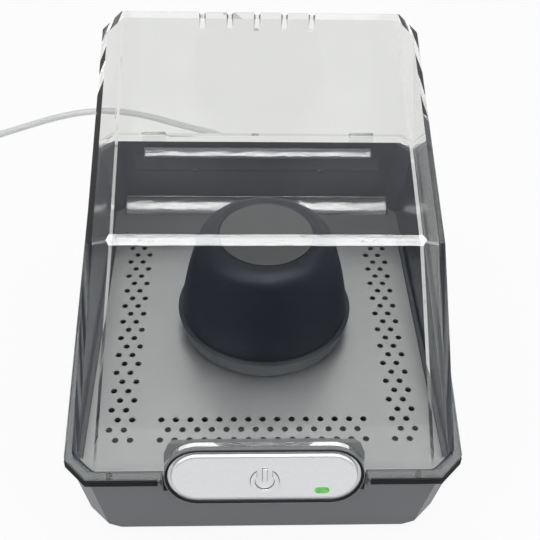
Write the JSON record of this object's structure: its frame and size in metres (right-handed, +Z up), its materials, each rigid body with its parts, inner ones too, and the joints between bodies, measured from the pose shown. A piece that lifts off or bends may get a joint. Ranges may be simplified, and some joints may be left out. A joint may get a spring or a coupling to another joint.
{
  "type": "hearing aid dryer",
  "caption": "Table-top hearing aid dryer: a clear hinged lid over a perforated tray, with a fan heater, a lamp, a stand for the aids and a front power button.",
  "frame": {"origin": "on the table, under the middle of the body's outline, cord and adapter left out", "axes": "+X to the right as seen from the button side, +Y to the back where the lid's hinge is, +Z up"},
  "size_m": [0.3366, 0.2792, 0.1272],
  "materials": {
    "tub_plastic": "satin moulded plastic, dark blue-grey",
    "tray_plastic": "satin metallic grey, fine texture",
    "pod_plastic": "satin grey",
    "button_silver": "satin silver paint",
    "lens_green": "clear green",
    "switch_plastic": "black",
    "led_epoxy": "clear green epoxy",
    "circuit_board": "green solder resist",
    "component_plastic": "black components",
    "fan_plastic": "black",
    "heat_plastic": "pale heat-proof plastic",
    "fin_aluminium": "bare aluminium",
    "ceramic": "fired ceramic",
    "screw_steel": "zinc-plated steel",
    "lead_insulation": "thin insulated wire",
    "foot_rubber": "black rubber",
    "lamp_pane": "clear pane",
    "lamp_glass": "frosted tube",
    "lid_clear": "clear smoke-tinted plastic, glossy",
    "ring_plastic": "satin dark grey",
    "pedestal_plastic": "satin blue-black",
    "pad_grey": "matt grey",
    "cord_white": "white flexible PVC",
    "tie_white": "white",
    "adapter_plastic": "white moulded",
    "blade_metal": "nickel-plated brass"
  },
  "bodies": {
    "base": {"base_tub": "tub_plastic", "tray_plate": "tray_plastic", "bottom_cover": "tub_plastic", "cover_screws": "screw_steel", "rubber_feet": "foot_rubber", "button_housing": "pod_plastic", "tact_switch": "switch_plastic", "status_led": "led_epoxy", "button_board": "circuit_board", "fan_frame": "fan_plastic", "fan_screws": "screw_steel", "heater_frame": "heat_plastic", "heater_fins": "fin_aluminium", "heater_ceramic": "ceramic", "thermal_cutout": "screw_steel", "control_board": "circuit_board", "board_parts": "component_plastic", "board_screws": "screw_steel", "lamp_driver": "circuit_board", "leads": "lead_insulation", "dc_jack": "component_plastic", "lamp_window": "lamp_pane", "uv_lamp": "lamp_glass", "lamp_holders": "heat_plastic", "lamp_reflector": "fin_aluminium", "lamp_housing": "tub_plastic", "housing_screws": "screw_steel", "lid_sensor": "component_plastic", "lid_bumpers": "foot_rubber", "hinge_pins": "screw_steel", "dc_plug": "cord_white", "cord_relief": "cord_white", "cord_lead": "cord_white", "cord_coil": "cord_white", "cord_tie": "tie_white", "cord_tail": "cord_white", "adapter_relief": "cord_white", "power_adapter": "adapter_plastic", "adapter_blades": "blade_metal"},
    "lid": {"lid_shell": "lid_clear", "lid_magnet": "screw_steel"},
    "button": {"power_button": "button_silver", "led_lens": "lens_green", "switch_plunger": "switch_plastic"},
    "fan": {"fan_rotor": "fan_plastic"},
    "pedestal": {"pedestal_ring": "ring_plastic", "pedestal_body": "pedestal_plastic", "pedestal_pad": "pad_grey"}
  },
  "joints": [
    {"name": "lid_hinge", "type": "hinge", "parent": "base", "child": "lid", "pos_m": [0, 0.07615, 0.05865], "axis": [-1, 0, 0], "range_deg": [0, 100]},
    {"name": "button_press", "type": "slide", "parent": "base", "child": "button", "axis": [0, 0.9613, -0.2756], "range_m": [0, 0.001], "stiffness_N_per_m": 600},
    {"name": "fan_spin", "type": "hinge", "parent": "base", "child": "fan", "pos_m": [0, -0.02831, 0.011], "axis": [0, 0, 1], "continuous": true},
    {"name": "pedestal_lift", "type": "slide", "parent": "base", "child": "pedestal", "axis": [0, 0, 1], "range_m": [0, 0.025]}
  ]
}
